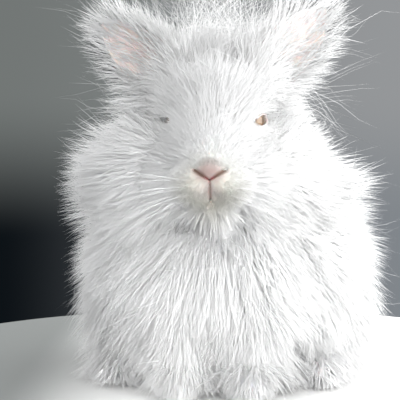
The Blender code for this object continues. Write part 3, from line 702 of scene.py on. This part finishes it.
def tuft_mesh(name, line, outs, widths, charts, soft=SOFTNESS):
    """Three-sided tufts, each from a point at its root through its widest part to a point, as one mesh."""
    along = unit(line[:, -1] - line[:, 0])
    across = unit(np.cross(along, outs) + rng.normal(0, TUFT_TWIST, along.shape))
    up = np.cross(across, along)
    ends = line.shape[1] - 1
    outs = unit(np.concatenate((outs[:, :2], np.maximum(outs[:, 2:], 0.1)), axis=1))
    rings, facings = [line[:, 0]], [outs]
    for ring in range(1, ends):
        size = (widths * np.interp(ring / ends, *TAPER) / 2)[:, None]
        for corner in range(3):
            angle = 2 * math.pi * corner / 3
            aside = across * math.cos(angle) + up * math.sin(angle) * TUFT_FLATNESS
            rings.append(line[:, ring] + aside * size)
            facings.append(aside * (1 - soft) + outs * soft)
    places = np.stack(rings + [line[:, -1]], axis=1)
    facings = np.stack(facings + [along * (1 - soft) + outs * soft], axis=1)
    places[:, :, 2] = np.maximum(places[:, :, 2], FLOOR_CLEAR)
    patch = [((corner - 1) / 2, (ring + 0.3 * (corner == 1)) / ends - 0.5) for ring in range(1, ends)
             for corner in range(3)]
    patch = np.array([(0, -0.5)] + patch + [(0, 0.5)]) * UV_PATCH
    coat = mesh_from_arrays(name, places, tuft_faces(ends), charts[:, None] + patch[None])
    coat.data.normals_split_custom_set_from_vertices(unit(facings.reshape(-1, 3)))
    return coat


def tuft_faces(ends):
    """The triangles of one three-sided tuft with that many steps from point to point."""
    faces = []
    tip = 3 * ends - 2
    for corner in range(3):
        after = (corner + 1) % 3
        faces.append((0, 1 + corner, 1 + after))
        for low in range(1, tip - 3, 3):
            faces.append((low + corner, low + 3 + after, low + after))
            faces.append((low + corner, low + 3 + corner, low + 3 + after))
        faces.append((tip - 3 + corner, tip, tip - 3 + after))
    return np.array(faces)


def mesh_from_arrays(name, places, faces, charts):
    """One mesh of many like tufts: their vertices, the faces of one of them, and their unwrapped places."""
    count, size = places.shape[:2]
    corners = (faces[None] + (np.arange(count) * size)[:, None, None]).reshape(-1)
    total = count * len(faces)
    mesh = bpy.data.meshes.new(name)
    mesh.vertices.add(count * size)
    mesh.vertices.foreach_set("co", places.ravel())
    mesh.loops.add(len(corners))
    mesh.loops.foreach_set("vertex_index", corners)
    mesh.polygons.add(total)
    mesh.polygons.foreach_set("loop_start", np.arange(total) * 3)
    mesh.polygons.foreach_set("use_smooth", np.ones(total, bool))
    mesh.update(calc_edges=True)
    layer = mesh.uv_layers.new(name="OFBake")
    layer.uv.foreach_set("vector", charts.reshape(-1, 2)[corners].ravel())
    return new_object(name, mesh)


def keep_nose_bare(place):
    """How much of its length the wool keeps round the nose and the lips."""
    x, y, z = place.T
    nose = np.hypot(x / NOSE_BARE[0], (z - NOSE.z - 0.2) / NOSE_BARE[1])
    lips = np.hypot(x / LIPS_BARE[0], (z + 32.5) / LIPS_BARE[1])
    front = y < FACE_WOOL_BACK
    return np.where(front, smooth_step(0.8, 1.15, nose) * smooth_step(0.3, 1.2, lips), 1)


def keep_lids_bare(points):
    """How much of its length the wool keeps round the lids, where it is short."""
    share = np.ones(len(points))
    for side in (1, -1):
        seen = moved(eye_frame(side).inverted(), points) / MM
        reach = np.hypot(seen[:, 0] / LID_HALF[0], seen[:, 1] / LID_HALF[1])
        share = np.where(seen[:, 2] > 0, share * (0.45 + 0.55 * smooth_step(*LID_WOOL, reach)), share)
        share = np.where((seen[:, 2] > 0) & (reach < LID_WOOL[0]), 0, share)
    return share


def wool_kinds(roots):
    """Which kind of wool grows at each root, with blurred borders, or -1 where none does."""
    blur = rng.uniform(-1, 1, roots.shape) * BORDER_BLUR
    x, y, z = (moved(HEAD.inverted(), roots) / MM).T
    on_head = (z > HEAD_FOOT) & (y < HEAD_BACK) & (y * 0.6 - z < -HEAD_FOOT)
    kinds = np.full(len(roots), -1)
    for index, wool in enumerate(WOOL):
        place = moved(wool.frame.inverted(), roots) / MM + blur
        fits = wool.where(*place.T) & (kinds < 0)
        if wool.frame is HEAD:
            fits &= on_head
        kinds[fits] = index
    return kinds


def wool_rules(roots, kinds):
    """Each root's own length, width and other measures, and the way its wool lies."""
    rules = {key: np.zeros(len(roots)) for key in Wool._fields[3:-1]}
    lies = np.zeros_like(roots)
    for index, wool in enumerate(WOOL):
        mine = kinds == index
        place = (moved(wool.frame.inverted(), roots[mine]) / MM).T
        for key, values in rules.items():
            rule = getattr(wool, key)
            values[mine] = rule(*place) if callable(rule) else rule
        lie = np.stack([np.broadcast_to(value, place[0].shape) for value in wool.lie(*place)], axis=1)
        lies[mine] = unit(lie) @ np.array(wool.frame.to_3x3()).T
    return rules, lies


def wool_sway(roots, lengths):
    """How the wool's length and lie change from place to place, both more in long wool."""
    loose = smooth_step(4, 26, lengths)[:, None]
    waves = [Vector(root) * LOCKS_PER_METRE for root in roots]
    longer = np.array([noise_at(wave) for wave in waves])[:, None] * LENGTH_SWAY
    astray = np.array([noise_vector(wave) for wave in waves]) * LIE_SWAY
    return np.concatenate((1 + longer * loose, astray * loose), axis=1)


def chosen_from(rules, kept):
    return {key: values[kept] for key, values in rules.items()}


def grow_coat(skin):
    """Every kind of wool on the skin, as one piece of joined tufts for each region."""
    roots, outs, charts = scatter(skin, None)
    kinds = wool_kinds(roots)
    rules, lies = wool_rules(roots, kinds)
    share = keep_nose_bare(moved(HEAD.inverted(), roots) / MM) * keep_lids_bare(roots)
    hidden = (outs[:, 2] < -0.35) & (roots[:, 2] < UNDERSIDE) & (roots[:, 1] > BELLY_FRONT)
    dense = rules["dense"] * np.where(hidden, UNDERSIDE_SHARE, 1)
    kept = np.flatnonzero((rng.random(len(roots)) < dense / CANDIDATE_DENSITY) & (share > LEAST_SHARE))
    names = np.array([wool.piece for wool in WOOL])[kinds]
    sway = wool_sway(roots, rules["length"])
    pieces = []
    for name in dict.fromkeys(wool.piece for wool in WOOL):
        mine = kept[names[kept] == name]
        rule = chosen_from(rules, mine)
        lengths = rule["length"] * MM * rng.uniform(0.7, 1.15, len(mine)) * share[mine] * sway[mine, 0]
        widths = rule["width"] * MM * rng.uniform(0.7, 1.3, len(mine)) * np.maximum(share[mine], 0.5)
        steps = SHORT_STEPS if name in SHORT_PIECES else WOOL_STEPS
        soft = FACE_SOFTNESS if name == "face" else SOFTNESS
        line = grow_paths(roots[mine], outs[mine], rule, lengths, lies[mine] + sway[mine, 1:], steps)
        line = keep_in_reach(part_round_eyes(line))
        parts = np.array_split(np.arange(len(mine)), math.ceil(len(mine) / COAT_LIMIT))
        for number, part in enumerate(parts, 1):
            label = "wool_" + name + ("" if number == 1 else "_" + str(number))
            root = mine[part]
            pieces.append(tuft_mesh(label, line[part], outs[root], widths[part], charts[root], soft))
    pieces.append(grow_wisps(roots, outs, charts, rules, lies))
    return pieces


def grow_wisps(roots, outs, charts, rules, lies):
    """Long fine hairs that stray past the rest of the wool, most of them on the head."""
    x, y, z = (moved(HEAD.inverted(), roots) / MM).T
    long = rules["length"] > WISP_WOOL
    crest = (z > 8) & (y > -4) & (np.abs(x) < 20)
    chance = np.where(crest, CREST_SHARE, np.where(z > HEAD_FOOT, 1.0, 0.35)) * long
    chance = chance * (roots[:, 2] > WISP_HEIGHT)
    mine = np.flatnonzero(rng.random(len(roots)) < chance * WISP_COUNT / chance.sum())
    rule = chosen_from(rules, mine)
    rule["clump"] = np.where(crest[mine], WISP_CLUMP, rng.uniform(0, 0.5, len(mine)))
    rule["stand"] = rule["stand"] + 0.12
    lengths = rule["length"] * MM * rng.uniform(1.1, 1.6, len(mine)) * np.where(crest[mine], CREST_GROWTH, 1)
    line = grow_paths(roots[mine], outs[mine], rule, lengths, lies[mine], WISP_STEPS, WISP_CURL)
    widths = WISP_WIDTH * rng.uniform(0.7, 1.3, len(mine))
    return tuft_mesh("wool_wisps", keep_in_reach(part_round_eyes(line)), outs[mine], widths, charts[mine])


def grow_ear_wool(ear, side):
    """Wool on the ear's back and edges, longest at its tip, and a little inside its cup."""
    roots, outs, charts = scatter(ear, EAR_TUFTS * 3)
    view = ear_frame(side)
    place = moved(view.inverted(), roots) / MM
    along = np.clip(place[:, 2] / (EAR_LENGTH / MM), 0, 1)
    half = np.interp(along, EAR_STATIONS, EAR_WIDTHS) * EAR_WIDTH / MM / 2
    edge = np.clip(np.abs(place[:, 0]) / half, 0, 1)
    back = outs @ np.array(view.to_3x3() @ Vector((0, 1, 0)))
    inside = back < 0.1
    rim = smooth_step(0.72, 1.0, edge)
    shown = EAR_BARE[side]
    chance = np.where(inside, shown + (1 - shown) * rim + 0.4 * smooth_step(0.6, 1, along), 0.55 + 0.45 * rim)
    kept = np.flatnonzero(rng.random(len(roots)) < chance)[:EAR_TUFTS]
    roots, outs, charts, along, rim, inside = (
        values[kept] for values in (roots, outs, charts, along, rim, inside))
    turn = np.array(view.to_3x3())
    sideways = np.sign(place[kept, 0]) * (0.25 + 0.75 * rim)
    lie = np.stack((sideways, np.where(inside, -0.2, 0.35), np.ones(len(kept)) * 1.1), axis=1) @ turn.T
    lengths = (9 + 10 * rim + 8 * smooth_step(0.6, 1, along)) * np.where(inside, 0.9 + 0.1 * rim, 1)
    lengths = lengths * MM * rng.uniform(0.6, 1.2, len(kept))
    rules = {key: np.full(len(kept), value) for key, value in EAR_RULES.items()}
    line = keep_in_reach(grow_paths(roots, outs, rules, lengths, lie, WOOL_STEPS))
    widths = EAR_TUFT_WIDTH * rng.uniform(0.7, 1.2, len(kept))
    return tuft_mesh("wool_ear_" + side, line, outs, widths, charts)


def build_whiskers():
    """Long fine whiskers that spring from the pads and sweep out and back."""
    curves = []
    for side in (1, -1):
        for row in range(WHISKER_ROWS):
            for column in range(WHISKER_ROWS):
                root = Vector((side * (7.5 + 1.7 * column), -35.5 + 2.6 * column, -28 - 2.6 * row))
                length = rng.uniform(*WHISKER_LENGTHS) * (1 - 0.06 * row)
                out = Vector((side, -0.28 + rng.normal(0, 0.08), 0.18 - 0.2 * row + rng.normal(0, 0.07)))
                bend = Vector((0, 0.25, -0.22 + rng.normal(0, 0.06)))
                curve = [root + out.normalized() * length * along + bend * length * along * along
                         for along in np.linspace(0, 1, 9)]
                curves.append([np.array(HEAD @ (point * MM)) for point in curve])
    widths = np.full(len(curves), WHISKER_WIDTH)
    outs = np.tile((0.0, -1.0, 0.0), (len(curves), 1))
    return tuft_mesh("whiskers", np.array(curves), outs, widths, rng.uniform(0.05, 0.95, (len(curves), 2)))


def set_inputs(node, values):
    for name, value in values.items():
        node.inputs[name].default_value = value


def new_material(name, colour, roughness):
    material = bpy.data.materials.new(name)
    material.use_nodes = True
    shader = material.node_tree.nodes["Principled BSDF"]
    set_inputs(shader, {"Base Color": (*colour, 1), "Roughness": roughness})
    return material, material.node_tree, shader


def blend_colours(tree, share, first, second):
    """A node that mixes two colours, either of them a socket, by a share."""
    mix = tree.nodes.new("ShaderNodeMix")
    mix.data_type = "RGBA"
    tree.links.new(share, mix.inputs["Factor"])
    for name, colour in (("A", first), ("B", second)):
        socket = next(s for s in mix.inputs if s.name == name and s.type == "RGBA")
        if isinstance(colour, tuple):
            socket.default_value = (*colour, 1)
        else:
            tree.links.new(colour, socket)
    return next(s for s in mix.outputs if s.type == "RGBA")


def noise(tree, scale, detail=3):
    where = tree.nodes.new("ShaderNodeTexCoord")
    texture = tree.nodes.new("ShaderNodeTexNoise")
    set_inputs(texture, {"Scale": scale, "Detail": detail})
    tree.links.new(where.outputs["Object"], texture.inputs["Vector"])
    return texture.outputs["Fac"]


def value_share(tree, value, low, high, first=0, last=1):
    """A share that goes smoothly from the first to the last as the value goes from low to high."""
    node = tree.nodes.new("ShaderNodeMapRange")
    node.interpolation_type = "SMOOTHSTEP"
    set_inputs(node, {"From Min": low, "From Max": high, "To Min": first, "To Max": last})
    tree.links.new(value, node.inputs["Value"])
    return node.outputs["Result"]


def attribute(tree, name):
    node = tree.nodes.new("ShaderNodeAttribute")
    node.attribute_name = name
    return node.outputs["Fac"]


def coordinates(tree, kind):
    """A place on the object or a direction, as one output for each axis."""
    where = tree.nodes.new("ShaderNodeTexCoord")
    parts = tree.nodes.new("ShaderNodeSeparateXYZ")
    tree.links.new(where.outputs[kind], parts.inputs["Vector"])
    return parts.outputs


def distance_share(tree, place, near, far):
    """How near the surface is to a place: 1 within the near distance, 0 past the far one."""
    where = tree.nodes.new("ShaderNodeTexCoord")
    measure = tree.nodes.new("ShaderNodeVectorMath")
    measure.operation = "DISTANCE"
    measure.inputs[1].default_value = place
    tree.links.new(where.outputs["Object"], measure.inputs[0])
    return value_share(tree, measure.outputs["Value"], near, far, 1, 0)


WHITE = (0.985, 0.984, 0.973)
COOL = (0.96, 0.963, 0.967)
# Colours of the coat round the nose, partly its own cream and greyish-brown and partly painted shade that
# darkens the
# muzzle and chin: each one's place from the nose's tip, the distances over which it fades, in millimetres,
# and its colour.
MUZZLE_TINTS_AND_SHADE = (
    ((0, 2, -8), 6, 27, (0.50, 0.49, 0.43)),
    ((0, 0, -8), 1, 11, (0.42, 0.37, 0.35)),
    ((0, 1, 5), 1, 9, (0.38, 0.335, 0.31)),
    ((0, 2, -16), 1, 8, (0.38, 0.33, 0.27)),
)
FLESH = (0.27, 0.20, 0.185)
# The colours of the painted shade in the grooves and at the lids' inner corners: crimson near the nose's
# middle, dark brown elsewhere.
CRIMSON = (0.38, 0.08, 0.10)
PAINTED_SHADE_BROWN = (0.17, 0.10, 0.075)
EAR_SKIN = (0.86, 0.76, 0.72)
EAR_VEINS = (0.75, 0.60, 0.56)
WHISKER = (0.9, 0.9, 0.9)
# The eye's colours by how nearly a point faces the way the pupil does, and the iris's streaks.
EYE_RAMP = (
    (0.0, (0.55, 0.42, 0.30)),
    (0.35, (0.46, 0.34, 0.20)),
    (0.72, (0.36, 0.23, 0.12)),
    (0.86, (0.20, 0.10, 0.04)),
    (0.90, (0.012, 0.008, 0.007)),
)
EYE_STREAKS = (0.20, 0.11, 0.05)
# How large each pattern of colour or relief is, as times it comes and goes in a metre.
COAT_PATCHES = 22
VEINS = 130
IRIS_FIBRES = 700
SKIN_PORES = 900


def coat_colours(tree):
    """White wool, a little cooler in places, creamy round the muzzle and chin and darkened there by painted
    shade, alike on skin and coat.
    """
    plain = blend_colours(tree, noise(tree, COAT_PATCHES), WHITE, COOL)
    for step, near, far, colour in MUZZLE_TINTS_AND_SHADE:
        share = distance_share(tree, tuple(HEAD @ ((NOSE + Vector(step)) * MM)), near * MM, far * MM)
        plain = blend_colours(tree, share, plain, colour)
    return plain


def wool_material():
    material, tree, shader = new_material("wool", WHITE, 0.7)
    tree.links.new(coat_colours(tree), shader.inputs["Base Color"])
    set_inputs(shader, {"Sheen Weight": 0.3, "Sheen Roughness": 0.5, "Specular IOR Level": 0.2,
                        "Subsurface Weight": 0.5, "Subsurface Radius": (1, 1, 1),
                        "Subsurface Scale": 2 * MM})
    return material


def skin_material():
    material, tree, shader = new_material("skin", WHITE, 0.6)
    fleshy = blend_colours(tree, attribute(tree, "flesh"), coat_colours(tree), FLESH)
    middle = tuple(HEAD @ ((NOSE + Vector((0, 0, -3))) * MM))
    # Painted shade in the grooves and at the lids' inner corners: crimson near the nose's middle, dark brown
    # elsewhere.
    painted_shade_colour = blend_colours(tree, distance_share(tree, middle, 2 * MM, 5 * MM), PAINTED_SHADE_BROWN, CRIMSON)
    with_painted_shade = blend_colours(tree, attribute(tree, "painted_shade"), fleshy, painted_shade_colour)
    tree.links.new(with_painted_shade, shader.inputs["Base Color"])
    set_inputs(shader, {"Subsurface Weight": 0.15, "Subsurface Scale": 4 * MM})
    bump = tree.nodes.new("ShaderNodeBump")
    set_inputs(bump, {"Strength": 0.35, "Distance": 0.4 * MM})
    tree.links.new(noise(tree, SKIN_PORES, 4), bump.inputs["Height"])
    tree.links.new(bump.outputs["Normal"], shader.inputs["Normal"])
    return material


def ear_material():
    material, tree, shader = new_material("ear_skin", WHITE, 0.6)
    veins = blend_colours(tree, noise(tree, VEINS, 5), EAR_SKIN, EAR_VEINS)
    colour = blend_colours(tree, attribute(tree, "inner"), coat_colours(tree), veins)
    tree.links.new(colour, shader.inputs["Base Color"])
    set_inputs(shader, {"Subsurface Weight": 0.3, "Subsurface Scale": 4 * MM})
    return material


def eye_material():
    material, tree, shader = new_material("eye", EYE_STREAKS, 0.08)
    ramp = tree.nodes.new("ShaderNodeValToRGB")
    stops = ramp.color_ramp.elements
    for stop, (position, colour) in zip(stops, (EYE_RAMP[0], EYE_RAMP[-1])):
        stop.position = position
        stop.color = (*colour, 1)
    for position, colour in EYE_RAMP[1:-1]:
        stops.new(position).color = (*colour, 1)
    tree.links.new(attribute(tree, "facing"), ramp.inputs["Fac"])
    streaked = blend_colours(tree, noise(tree, IRIS_FIBRES, 4), ramp.outputs["Color"], EYE_STREAKS)
    tree.links.new(streaked, shader.inputs["Base Color"])
    set_inputs(shader, {"Coat Weight": 1, "Coat Roughness": 0.02})
    return material


def whisker_material():
    material, _, shader = new_material("whisker", WHISKER, 0.35)
    set_inputs(shader, {"Coat Weight": 0.3})
    return material


def dress(obj, material, replaced=()):
    obj.data.materials.clear()
    obj.data.materials.append(material)
    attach(obj, "root")
    if replaced:
        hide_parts(*replaced)


# The table top, pale where it is lit and dark at the animal's right, and where that begins and ends.
TABLE_RADIUS = 0.21
TABLE_THICKNESS = 0.012
TABLE_COLOURS = ((0.11, 0.12, 0.115), (0.80, 0.80, 0.79))
TABLE_SHADE = (-0.115, -0.04)
# The light from all round: at the animal's right and left, by the direction across, and from above.
AMBIENT = ((0.52, 0.53, 0.54), (0.90, 0.91, 0.92))
AMBIENT_TOP = (1.85, 1.86, 1.87)
AMBIENT_SPAN = 0.9
# What is seen behind the animal, low and high on each side, with the directions between which it changes.
BACKDROP = (((0.004, 0.006, 0.008), (0.17, 0.185, 0.18)), ((0.22, 0.24, 0.26), (0.30, 0.31, 0.32)))
BACKDROP_ACROSS = (-0.19, 0.19)
BACKDROP_UP = (-0.08, 0.06)
# Each lamp's place, what it faces, its size in metres, power in watts and spread in degrees.
LAMPS = {
    "key": ((0.75, -0.5, 0.3), (0, -0.05, 0.1), 0.8, 7.2, 180),
    "front": ((0.05, -0.8, 0.06), (0, -0.07, 0.02), 0.5, 2, 180),
    "low": ((-0.15, -0.6, 0.06), (-0.02, -0.06, 0.02), 0.12, 0.045, 26),
    "rim": ((0.35, 0.6, 0.5), (0, 0, 0.1), 0.5, 4, 180),
}
BOUNCES = 12
# The camera: the width that its frame spans at the face, its distance, its rise and its aim.
FIELD = 0.188
CAMERA_DISTANCE = 0.50
CAMERA_RISE = math.radians(2.5)
CAMERA_AIM = Vector((-3.8, -70, 95)) * MM
SENSOR = 36


def build_stage():
    """A pale round table top, and surroundings that light the animal all round but look dim behind it."""
    table_material, tree, shader = new_material("table", TABLE_COLOURS[1], 0.5)
    across = value_share(tree, coordinates(tree, "Object")["X"], *TABLE_SHADE)
    tree.links.new(blend_colours(tree, across, *TABLE_COLOURS), shader.inputs["Base Color"])
    bm = bmesh.new()
    thick = Matrix.Translation((0, 0, -TABLE_THICKNESS / 2))
    bmesh.ops.create_cone(bm, cap_ends=True, segments=96, radius1=TABLE_RADIUS, radius2=TABLE_RADIUS,
                          depth=TABLE_THICKNESS, matrix=thick)
    table = object_from_bmesh("table", bm)
    table.data.materials.append(table_material)
    world = bpy.data.worlds.new("studio")
    world.use_nodes = True
    tree = world.node_tree
    light = tree.nodes["Background"]
    way = coordinates(tree, "Generated")
    around = blend_colours(tree, value_share(tree, way["X"], -AMBIENT_SPAN, AMBIENT_SPAN), *AMBIENT)
    above = value_share(tree, way["Z"], 0, AMBIENT_SPAN)
    tree.links.new(blend_colours(tree, above, around, AMBIENT_TOP), light.inputs["Color"])
    seen = tree.nodes.new("ShaderNodeBackground")
    across = value_share(tree, way["X"], *BACKDROP_ACROSS)
    up = value_share(tree, way["Z"], *BACKDROP_UP)
    left, right = (blend_colours(tree, up, *colours) for colours in BACKDROP)
    tree.links.new(blend_colours(tree, across, left, right), seen.inputs["Color"])
    path = tree.nodes.new("ShaderNodeLightPath")
    mix = tree.nodes.new("ShaderNodeMixShader")
    tree.links.new(path.outputs["Is Camera Ray"], mix.inputs["Fac"])
    tree.links.new(light.outputs["Background"], mix.inputs[1])
    tree.links.new(seen.outputs["Background"], mix.inputs[2])
    tree.links.new(mix.outputs["Shader"], tree.nodes["World Output"].inputs["Surface"])
    bpy.context.scene.world = world


def add_lamp(name, place, aim, size, power, spread):
    light = bpy.data.lights.new(name, "AREA")
    light.shape = "SQUARE"
    light.size = size
    light.energy = power
    light.spread = math.radians(spread)
    lamp = new_object(name, light)
    lamp.location = place
    lamp.rotation_euler = (Vector(aim) - Vector(place)).to_track_quat("-Z", "Y").to_euler()


def add_camera():
    """A camera square to the animal, whose frame spans the photo's width at the face."""
    aim = SETTLED @ CAMERA_AIM
    camera = bpy.data.cameras.new("camera")
    camera.sensor_width = SENSOR
    camera.lens = SENSOR * CAMERA_DISTANCE / FIELD
    holder = new_object("camera", camera)
    back = Vector((0, -math.cos(CAMERA_RISE), math.sin(CAMERA_RISE)))
    holder.location = aim + back * CAMERA_DISTANCE
    holder.rotation_euler = (-back).to_track_quat("-Z", "Y").to_euler()
    bpy.context.scene.camera = holder


def main():
    add_camera()
    build_stage()
    for name, values in LAMPS.items():
        add_lamp(name, *values)
    wool = wool_material()
    skin = build_skin()
    flesh = [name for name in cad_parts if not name.startswith(("ear_", "eye_"))]
    dress(skin, skin_material(), flesh)
    for piece in grow_coat(skin):
        dress(piece, wool)
    ear_skin, eye_look = ear_material(), eye_material()
    for name, side in (("left", 1), ("right", -1)):
        ear = build_ear(name)
        dress(ear, ear_skin, ["ear_" + name])
        dress(grow_ear_wool(ear, name), wool)
        dress(build_eye(side, name), eye_look, ["eye_" + name])
    dress(build_whiskers(), whisker_material())
    bpy.context.scene.view_settings.view_transform = "Standard"
    bpy.context.scene.cycles.diffuse_bounces = BOUNCES


main()
